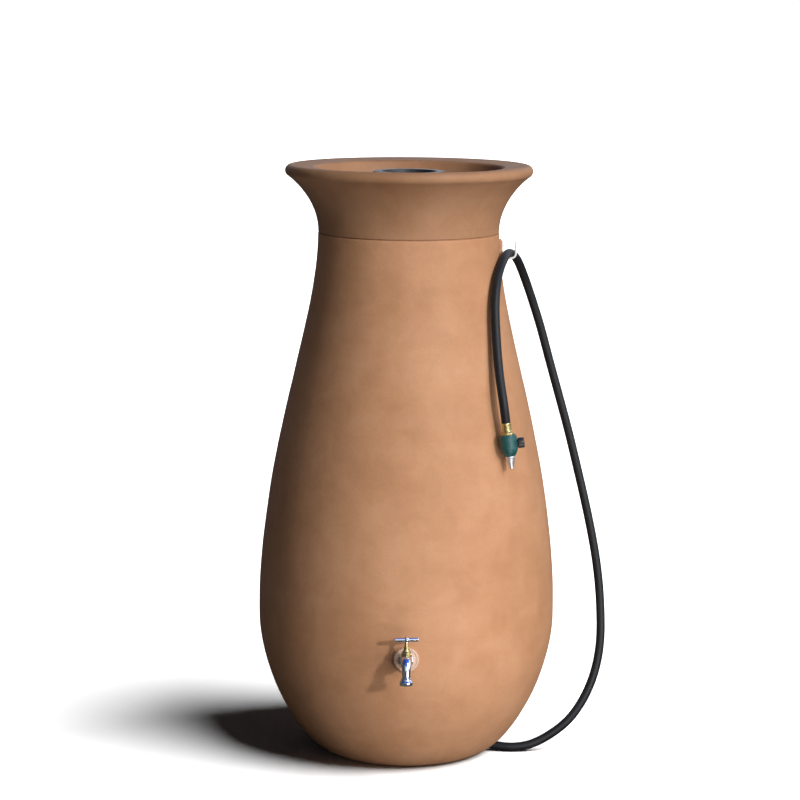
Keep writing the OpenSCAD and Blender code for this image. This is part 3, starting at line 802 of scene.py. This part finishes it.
def make_tap_body(material):
    chamber = lathe("chamber", rounded([
        (0, -12, 0), (5, -11.6, 2), (8.6, -9.3, 3), (10.4, -5.5, 4), (10.5, 14, 1), (11.2, 15, 0.6),
        (11.2, 18.4, 0.8), (0, 19, 0),
    ]), 72, AT_CHAMBER)
    neck = lathe("neck", rounded([
        (0, 6, 0), (11.2, 6, 1), (10.4, 10, 2), (8.9, 15, 5), (8.9, 26, 8), (10.0, 35, 2), (10, 40, 0),
        (0, 40, 0),
    ]), 72, AT_TAP)
    up, turn = 10.5 * MM, 20 * MM
    start_y = spout_y + turn
    line = [Vector((0, chamber_y, tap_axis_z + up)), Vector((0, (chamber_y + start_y) / 2, tap_axis_z + up))]
    line += [Vector((0, y, z)) for y, z in arc((start_y, tap_axis_z + up - turn), turn, 90, 180, 24)]
    line += [Vector((0, spout_y, tap_axis_z + up - turn - drop * MM)) for drop in (6, 12, 18, 21)]
    spout = tube("spout", line, lambda share: (10.8 - 2.5 * share ** 0.9) * MM, 64)
    body = cast("tap_casting", [chamber, neck, spout], 0.55 * MM, 7)
    at_end = Matrix.Translation((0, spout_y, tap_axis_z))
    lip = lathe("lip", rounded([
        (0, -33, 0), (13.25, -33, 0.9), (13.25, -26, 1.3), (10.6, -23.4, 1.5), (9.7, -21.6, 0.6),
        (9.7, -19.6, 0.7), (8.0, -18, 0.8), (0, -18, 0),
    ]), 96, at_end)
    hexes = lathe("hexes", nut_outline(25, 0, 4.5, 9.5), 96, AT_TAP, hexagon(25))
    boolean(body, [lip, hexes, plug("thread", 10.4, -24, 6, AT_TAP)], "UNION")
    mouth = lathe("mouth", rounded([
        (0, -35, 0), (9.3, -35, 0), (9.3, -25.5, 1), (3, -24.5, 0), (0, -24, 0),
    ]), 96, at_end)
    well = lathe("well", rounded([
        (0, -6, 0), (7, -6, 0.5), (7, -2, 0), (5, -2, 0), (5, 6, 0), (8, 6, 0), (8, 11, 0), (9, 11, 0),
        (9, 20, 0), (0, 20, 0),
    ]), 96, AT_CHAMBER)
    boolean(body, [mouth, plug("water", 6.5, -26, 18, AT_TAP)], "DIFFERENCE")
    boolean(body, [plug("inlet", 3.8, 10, 38, AT_TAP), tube("way_out", line, 4.2 * MM, 48)], "DIFFERENCE")
    boolean(body, [well, plug("seat", 11.6, 19, 26, AT_CHAMBER)], "DIFFERENCE")
    put(shade(body, 40), "barrel", "chrome", material, "tap_body")


def make_bonnet(material):
    bell = lathe("bell", rounded([
        (0, 24, 0), (9.3, 24, 0.5), (9.2, 25.2, 1.0), (6.6, 27.6, 4), (5.4, 31, 3), (5.3, 33, 0.4),
        (0, 33, 0),
    ]), 72)
    bonnet = lathe("tap_bonnet_bell", nut_outline(19.2, 5.25, 20.4, 24.6), 96, None, hexagon(19.2))
    boolean(bonnet, [bell], "UNION")
    boolean(bonnet, [plug("way", 5.25, 19, 30.4), plug("pocket", 3.45, 28, 34)], "DIFFERENCE")
    skirt = lathe("skirt", rounded([
        (7.7, 11, 0), (8.9, 11, 0.3), (8.9, 19, 0), (10.2, 19, 0.4), (10.2, 20.5, 0.4), (7.7, 20.5, 0),
    ]), 96)
    boolean(bonnet, [skirt], "UNION")
    bonnet.data.transform(AT_CHAMBER)
    put(shade(bonnet), "barrel", "brass", material, "tap_bonnet")

    gland = lathe("gland_nut", rounded([
        (3.45, 33, 0), (5.4, 33, 0.4), (5.4, 35.6, 0.6), (4.5, 37, 0.5), (3.45, 37, 0),
    ]), 72, AT_CHAMBER, hexagon(10))
    put(shade(gland), "barrel", "brass", material, "tap_gland_nut")


def make_handle(material, screw_material):
    half = 23.5
    at_hub = Matrix.Translation((0, chamber_y, handle_z))
    at_bar = towards((0, chamber_y, handle_z), (math.cos(handle_turn), math.sin(handle_turn), 0), (0, 0, 1))
    bar = lathe("bar", rounded([
        (0, -half, 0), (4.4, -half, 1.2), (4.2, -half + 4, 3), (4.5, 0, 8), (4.2, half - 4, 3),
        (4.4, half, 1.2), (0, half, 0),
    ]), 64, at_bar)
    hub = lathe("hub", rounded([
        (0, -6, 0), (4.8, -6, 0.6), (4.8, -3, 3), (5.6, 0, 3), (5.0, 4.2, 1), (0, 4.8, 0),
    ]), 64, at_hub)
    handle = cast("tap_t_handle", [bar, hub], 0.4 * MM, 6)
    boolean(handle, [plug("bore", 3.4, -8, 4, at_hub, sides=64)], "DIFFERENCE")
    put(shade(handle, 40), "tap_key", "chrome", material, "tap_handle")

    head = lathe("handle_screw", rounded([
        (0, 4.4, 0), (3.3, 4.4, 0.2), (3.1, 5.4, 1.0), (0, 6.3, 0),
    ]), 48, at_hub)
    slot = block("slot", (-4 * MM, -0.4 * MM, 5.5 * MM), (4 * MM, 0.4 * MM, 7 * MM),
                 place=at_hub @ Matrix.Rotation(handle_turn, 4, "Z"))
    boolean(head, [slot], "DIFFERENCE")
    put(shade(head), "tap_key", "steel", screw_material, "tap_handle_screw")


def make_flange(material):
    flange = lathe("tap_flange_disc", rounded([
        (10.7, 0, 0), (24.5, 0, 0.3), (24.5, 4.5, 2.0), (21.4, 4.5, 0.9), (20.4, 3.5, 0.8), (17, 3.5, 0.6),
        (16.2, 4.5, 0.5), (10.7, 4.5, 0.2),
    ]), 128, AT_TAP)
    put(shade(flange), "barrel", "flange_plastic", material, "tap_flange")


# ---- Hose and its valve ----

def make_hose(material):
    line = smooth_line(HOSE_ROUTE, 5 * MM)
    for _ in range(16):
        eased = [(a + 2 * b + c) / 4 for a, b, c in zip(line, line[1:], line[2:])]
        line = [line[0], *eased, line[-1]]
    hose = cable("drain_hose", [line], hose_d / 2, 8)
    hose.data.splines[0].use_smooth = True
    put(hose, "barrel", "hose_rubber", material, "hose")


def make_clamp(material):
    low = 6.0
    band = lathe("clamp_band", rounded([
        (9.05, low, 0), (9.9, low, 0.3), (9.9, low + 9, 0.3), (9.05, low + 9, 0),
    ]), 96, AT_OUTLET)
    screw_at = AT_OUTLET @ Matrix.Translation((-11.2 * MM, 0, (low + 4.5) * MM))
    housing = block("housing", (-1.6 * MM, -4 * MM, -4 * MM), (2.2 * MM, 4 * MM, 4 * MM), 0.8 * MM,
                    place=screw_at)
    boolean(band, [housing], "UNION")
    return put(shade(band), "barrel", "steel", material, "hose_clamp")


knob_way = next(j for j in frame["joints"] if j["name"] == "hose_valve_turn")["axis"]
nozzle_way = (Vector(HOSE_ROUTE[-1]) - Vector(HOSE_ROUTE[-2])).normalized()
AT_NOZZLE = towards(HOSE_ROUTE[-1], -nozzle_way, knob_way)
valve_at = -42
knob_at = 18.2
STEM = towards((0, 0, valve_at * MM), (1, 0, 0), (0, 0, 1))
AT_KNOB = AT_NOZZLE @ STEM @ Matrix.Translation((0, 0, knob_at * MM))


def ribbed(r, z, angle):
    """Shallow rings round the valve's waist."""
    share = (z / MM + 28) / 22
    if -1 < share < 0:
        r -= 0.28 * MM * (0.5 - 0.5 * math.cos(TAU * share * 6)) ** 2
    return r


def knurled(r, z, angle):
    """Fine notches round a nut's rim."""
    return r - 0.28 * MM * abs(math.sin(22 * angle)) ** 3 if r > 11 * MM else r


def fluted(r, z, angle):
    """Twelve finger flutes round a knob."""
    turn = (angle + math.pi / 12) % (math.pi / 6) - math.pi / 12
    notch = max(0.0, 1 - (turn / math.radians(7.5)) ** 2)
    return r - 0.9 * MM * notch if r > 9.6 * MM and z > 1.5 * MM else r


def make_valve(enamel_paint, brass_metal, tip_metal, knob_black, steel):
    ferrule = lathe("hose_ferrule_sleeve", rounded([
        (4.5, 0, 0), (9.3, 0, 0.5), (9.5, -2.6, 0.6), (9.0, -4, 0.8), (9.1, -14.6, 2.5), (10.2, -16.6, 0.8),
        (10.2, -18, 0.2), (7.5, -18, 0), (7.5, -30, 0), (4.5, -30, 0),
    ]), 96, AT_NOZZLE)
    put(shade(ferrule), "barrel", "brass", brass_metal, "hose_ferrule")

    nut = lathe("hose_nut_ring", rounded([
        (7.6, -18, 0), (10.6, -18, 0.5), (12.3, -19.4, 0.7), (12.3, -25, 0.4), (11.6, -26, 0.3),
        (7.6, -26, 0),
    ]), 176, AT_NOZZLE, knurled)
    put(shade(nut), "barrel", "brass", brass_metal, "hose_nut")

    waist = [(17.7, -28 - i * 22 / 44, 0) for i in range(45)]
    body = lathe("valve_casting", rounded([
        (0, -66, 0), (10.6, -66, 0.5), (12.8, -62.6, 3), (15.4, -58, 5), (17.2, -53, 4), (17.7, -50.5, 2),
        *reversed(waist), (17.6, -26.4, 1.5), (16.4, -24.2, 1.5), (14.6, -23.5, 0.6), (0, -23.5, 0),
    ]), 128, None, ribbed)
    flat = block("flat", (17.8 * MM, -20 * MM, (valve_at - 20) * MM),
                 (30 * MM, 20 * MM, (valve_at + 20) * MM))
    bores = [
        plug("socket", 13, -26.5, -19), plug("thread", 7.7, -31, -20),
        plug("way", 5, -70, -20), plug("tip_seat", 7, -70, -58), flat,
        plug("stem_hole", 3.55, 0, 20, STEM, sides=48),
    ]
    boolean(body, bores, "DIFFERENCE")
    collar = lathe("collar", rounded([
        (3.55, 13, 0), (7.4, 13, 0), (7.4, 18.0, 0.5), (3.55, 18.0, 0.2),
    ]), 64, STEM)
    boolean(body, [collar], "UNION")
    body.data.transform(AT_NOZZLE)
    put(shade(body, 40), "barrel", "green_enamel", enamel_paint, "valve_body")

    tip = lathe("nozzle_cone", rounded([
        (3.2, -58, 0), (6.9, -58, 0.3), (6.9, -66, 0), (9.8, -66, 0.3), (9.8, -68.6, 0.8), (8.7, -70.4, 1),
        (8.3, -74, 3), (6.3, -82.5, 3), (4.9, -89, 1), (4.9, -91, 0.6), (3.2, -91, 0.4),
    ]), 96, AT_NOZZLE)
    put(shade(tip), "barrel", "tip_metal", tip_metal, "nozzle_tip")

    knob = lathe("valve_knob_grip", rounded([
        (0, 0, 0), (9.6, 0, 0.6), (10.5, 1.6, 0.4), (10.5, 1.7, 0), (10.5, 11.2, 0), (9.9, 12.4, 1.2),
        (9.0, 13, 0.8), (3.9, 13, 0.5), (3.4, 11, 0.2), (0, 11, 0),
    ]), 192, AT_KNOB, fluted)
    boolean(knob, [plug("stem_socket", 3.5, -1, 8, AT_KNOB, sides=48)], "DIFFERENCE")
    put(shade(knob, 40), "hose_tap_key", "knob_plastic", knob_black, "valve_knob")

    screw_at = AT_KNOB @ Matrix.Translation((0, 0, 11 * MM))
    screw = lathe("knob_screw_head", rounded([
        (0, 0, 0), (3.1, 0, 0), (3.1, 0.9, 0.5), (0, 1.5, 0),
    ]), 48, screw_at)
    cross(screw, screw_at, 1.9, 0.7)
    put(shade(screw), "hose_tap_key", "steel", steel, "knob_screw")


def cross(head, place, reach, depth_from):
    """Cuts a cross recess into a screw's head, sizes in mm."""
    arms = []
    for long_way in (0, 1):
        x, y = (reach, 0.35) if long_way else (0.35, reach)
        arms.append(block("arm", (-x * MM, -y * MM, depth_from * MM), (x * MM, y * MM, 4 * MM), place=place))
    boolean(head, arms, "DIFFERENCE")


# ---- Hook ----

hook_plate_top = 1056 * MM
hook_arm_z = 1020.8 * MM
hook_screws_z = (1011 * MM, 1048 * MM)


def on_hook(out, z):
    """A frame at that height, facing out of the hook's pad, that many mm in front of it."""
    return towards((hook_face + out * MM, 0, z), (1, 0, 0), (0, 1, 0))


def make_hook(paint_material, steel):
    plate = block("hose_hook_plate", (hook_face, -9 * MM, hook_low.z),
                  (hook_face + 3 * MM, 9 * MM, hook_plate_top), 1.1 * MM)
    wire_r = 2.2 * MM
    tip_x = hook_high.x - wire_r
    turn = 10 * MM
    way = [
        (hook_face + 1 * MM, hook_arm_z), (tip_x - turn - 4 * MM, hook_arm_z),
        *arc((tip_x - turn, hook_arm_z + turn), turn, -90, -6, 16),
        (tip_x, hook_arm_z + turn + 5 * MM), (tip_x, hook_high.z - wire_r), (tip_x, hook_high.z),
    ]
    wire = tube("wire", [Vector((x, 0, z)) for x, z in way],
                lambda share: wire_r if share < 0.99 else wire_r - 1 * MM)
    weld = lathe("weld", rounded([(0, 0, 0), (4.2, 0, 0), (3.0, 2.0, 1.2), (2.2, 3.4, 0.4), (0, 3.4, 0)]), 48,
                 on_hook(2.6, hook_arm_z))
    boolean(plate, [wire, weld], "UNION")
    boolean(plate, [plug("hole", 2.3, -1, 5, on_hook(0, z), sides=32) for z in hook_screws_z], "DIFFERENCE")
    put(shade(plate, 40), "barrel", "white_paint", paint_material, "hose_hook")

    bm = bmesh.new()
    for z in hook_screws_z:
        at = on_hook(3, z)
        head = lathe("head", rounded([
            (0, -9.6, 0), (1.2, -8.6, 0), (2.0, -7.6, 0), (2.0, 0, 0), (3.6, 0, 0.2), (3.4, 0.8, 0.7),
            (0, 1.5, 0),
        ]), 48, at)
        cross(head, at, 2.0, 0.6)
        bm.from_mesh(head.data)
        bpy.data.objects.remove(head)
    screws = finished(bm, "hook_screw_pair")
    put(shade(screws), "barrel", "steel", steel, "hook_screws")


# ---- Overflow ----

def make_overflow(material):
    grooves = []
    for z in (14, 20, 26, 32):
        grooves += [(16, z, 0.3), (15.2, z + 0.4, 0.3), (15.2, z + 1.6, 0.3), (16, z + 2, 0.3)]
    spout = lathe("overflow_elbow", rounded([
        (12.5, -27, 0.3), (14.8, -27, 0.6), (14.8, 0, 0), (22, 0, 0.4), (22, 4, 1.4), (18, 4.4, 1.2),
        (16, 8, 1.5), *grooves, (16, 42, 1.2), (12.5, 42, 0.8),
    ]), 128, AT_OVERFLOW)
    put(shade(spout), "barrel", "black_plastic", material, "overflow_spout")


# ---- Studio ----

KEY_WAY = (0.57, -0.83, 0.34)
KEY_POWER = 1.4
FLOOR_LAMP_WAY = (0.583, -0.250, 0.766)
CAMERA_PLACE = (-0.0155, -5.0, 1.54)
CAMERA_DIP = 9.23
CAMERA_ROLL = 0.35


def make_world():
    """White to the camera, a dim even light on matt surfaces, and a sky with a bright band to shiny ones."""
    world = bpy.data.worlds.new("studio")
    bpy.context.scene.world = world
    world.use_nodes = True
    tree = world.node_tree
    tree.nodes.clear()

    def add(kind, **inputs):
        return add_node(tree, kind, **inputs)

    def background(colour, strength):
        return add("ShaderNodeBackground", Color=colour, Strength=strength).outputs[0]

    def mixed(share, first, second):
        node = tree.nodes.new("ShaderNodeMixShader")
        for socket, link in enumerate((share, first, second)):
            tree.links.new(link, node.inputs[socket])
        return node.outputs[0]

    way = add("ShaderNodeSeparateXYZ", Vector=tree.nodes.new("ShaderNodeTexCoord").outputs["Generated"])
    height = add("ShaderNodeMapRange", Value=way.outputs["Z"], From_Min=-1.0)
    ramp = add("ShaderNodeValToRGB", Fac=height.outputs[0])
    stops = ramp.color_ramp.elements
    stops[0].position, stops[0].color = 0.47, (0.05, 0.045, 0.05, 1)
    stops[1].position, stops[1].color = 0.53, (0.45, 0.47, 0.52, 1)
    for place, colour in (
        (0.56, (1.0, 1.0, 1.0, 1)), (0.78, (0.88, 0.94, 1.0, 1)), (0.85, (0.10, 0.25, 0.80, 1)),
        (1.0, (0.04, 0.10, 0.50, 1)),
    ):
        stops.new(place).color = colour
    side = add("ShaderNodeMapRange", Value=way.outputs["X"], From_Min=-0.75, From_Max=0.15, To_Min=0.08,
               To_Max=1.35)
    path = tree.nodes.new("ShaderNodeLightPath")
    sky = background(ramp.outputs["Color"], side.outputs[0])
    dim = background((0.80, 0.88, 1.0, 1), 0.012)
    seen = background((1, 1, 1, 1), 1.0)
    shown = mixed(path.outputs["Is Diffuse Ray"], sky, dim)
    shown = mixed(path.outputs["Is Camera Ray"], shown, seen)
    tree.links.new(shown, add("ShaderNodeOutputWorld").inputs["Surface"])


def lamp_at(name, kind, way, power, lit, **settings):
    """A lamp that shines along -way on what lit holds. With mirrored off, shiny surfaces don't show it."""
    data = bpy.data.lights.new(name, kind)
    data.energy = power
    for setting, value in settings.items():
        if setting not in ("place", "mirrored"):
            setattr(data, setting, value)
    lamp = added(name, data)
    lamp.location = settings.get("place", (0, 0, 0))
    lamp.visible_glossy = settings.get("mirrored", True)
    lamp.rotation_mode = "QUATERNION"
    lamp.rotation_quaternion = Vector(way).to_track_quat("Z", "Y")
    lamp.light_linking.receiver_collection = lit


def make_lights(floor):
    """A key, a soft dome, a fill and a low bounce for the object, and a soft lamp for the floor alone."""
    floor_only = bpy.data.collections.new("floor_only")
    floor_only.objects.link(floor)
    not_floor = bpy.data.collections.new("not_floor")
    not_floor.objects.link(floor)
    not_floor.collection_objects[0].light_linking.link_state = "EXCLUDE"
    lamp_at("key", "SUN", KEY_WAY, KEY_POWER, not_floor, angle=math.radians(4), color=(1.0, 0.98, 0.95))
    lamp_at("dome", "SUN", (0.50, -0.84, 0.20), 1.5, not_floor, mirrored=False, angle=math.radians(60),
            color=(0.95, 0.97, 1.0))
    lamp_at("fill", "AREA", (0.62, -0.52, 0.62), 36, not_floor, place=(2.0, -1.7, 2.6), shape="RECTANGLE",
            size=1.4, size_y=1.4)
    lamp_at("bounce", "AREA", (0.42, -0.75, -0.50), 7.0, not_floor, place=(0.50, -1.0, 0.02), size=0.6,
            color=(1.0, 0.95, 0.90))
    lamp_at("floor_lamp", "SUN", FLOOR_LAMP_WAY, 9.0, floor_only, angle=math.radians(48))


def make_floor():
    """A wide pale floor, darker to light that bounces than to the camera."""
    bm = bmesh.new()
    reach = 1500
    corners = ((-reach, -reach), (reach, -reach), (reach, reach), (-reach, reach))
    bm.faces.new([bm.verts.new((x, y, 0)) for x, y in corners])
    floor = finished(bm, "floor")
    material = bpy.data.materials.new("floor")
    material.use_nodes = True
    tree = material.node_tree
    shader = tree.nodes["Principled BSDF"]
    shader.inputs["Roughness"].default_value = 0.9
    shader.inputs["Specular IOR Level"].default_value = 0.0
    path = tree.nodes.new("ShaderNodeLightPath")
    tone = tree.nodes.new("ShaderNodeMix")
    tone.data_type = "RGBA"
    tree.links.new(path.outputs["Is Camera Ray"], tone.inputs[0])
    tone.inputs[6].default_value = (0.05, 0.047, 0.045, 1)
    tone.inputs[7].default_value = (0.86, 0.86, 0.86, 1)
    tree.links.new(tone.outputs[2], shader.inputs["Base Color"])
    floor.data.materials.append(material)
    return floor


def make_camera():
    """Five metres in front of the barrel, at head height, looking slightly down."""
    lens = bpy.data.cameras.new("camera")
    lens.lens = 111.08
    lens.sensor_width = 36
    lens.clip_start, lens.clip_end = 0.1, 4000
    camera = added("camera", lens)
    camera.location = CAMERA_PLACE
    look = Euler((math.radians(90 - CAMERA_DIP), 0, 0)).to_matrix()
    roll = Matrix.Rotation(math.radians(CAMERA_ROLL), 3, "Z")
    camera.rotation_euler = (look @ roll).to_euler()
    bpy.context.scene.camera = camera


def main():
    make_camera()
    make_world()
    make_lights(make_floor())
    bpy.context.scene.view_settings.view_transform = "Standard"

    clay = terracotta("terracotta_body", (0.46, 0.228, 0.115), (0.52, 0.264, 0.138), (0.57, 0.300, 0.165),
                      (0.62, 0.360, 0.225))
    # The planter's terracotta is a darker copy of the body's: painted shade for the shade under its lip.
    clay_top_painted_shade = terracotta("terracotta_top", (0.34, 0.170, 0.086), (0.39, 0.202, 0.106), (0.43, 0.230, 0.127),
                          (0.47, 0.280, 0.175))
    black = plastic("black_plastic", (0.022, 0.022, 0.024), (0.07, 0.07, 0.072))
    knob_black = plastic("knob_plastic", (0.010, 0.010, 0.012), (0.05, 0.05, 0.055), 0.30)
    flange_clay = plastic("flange_plastic", (0.62, 0.43, 0.33), (0.72, 0.57, 0.48), 0.34)
    plated = chrome()
    yellow = brass()
    steel = metal("steel", (0.60, 0.61, 0.63), (0.38, 0.38, 0.38), 0.24)
    wire = metal("steel_mesh", (0.55, 0.56, 0.57), (0.30, 0.30, 0.30), 0.32)
    tip = metal("tip_metal", (0.84, 0.86, 0.90), (0.64, 0.66, 0.69), 0.38)
    seal = rubber("seal_rubber", (0.012, 0.012, 0.012), (0.035, 0.034, 0.032), 0.55)
    hose_black = rubber("hose_rubber", (0.005, 0.006, 0.0075), (0.013, 0.014, 0.0165), 0.50)
    green = enamel()
    white = paint()

    for node, material in (
        ("tap_spindle", yellow), ("tap_packing", seal), ("tap_jumper", yellow), ("tap_jumper_washer", seal),
        ("tap_gasket", seal), ("tap_locknut", yellow), ("outlet_fitting", black), ("outlet_gasket", seal),
        ("outlet_locknut", black), ("valve_ball", plated), ("valve_stem", steel),
        ("overflow_gasket", seal), ("overflow_locknut", black),
    ):
        part = frame["nodes"][node]
        part.data.materials.clear()
        part.data.materials.append(material)

    clamp = make_clamp(steel)
    make_valve(green, yellow, tip, knob_black, steel)
    make_hose(hose_black)
    make_barrel(clay)
    make_planter(clay_top_painted_shade)
    make_screen(black, wire)
    make_flange(flange_clay)
    make_tap_body(plated)
    make_bonnet(yellow)
    make_handle(plated, steel)
    make_hook(white, steel)
    make_overflow(black)


main()
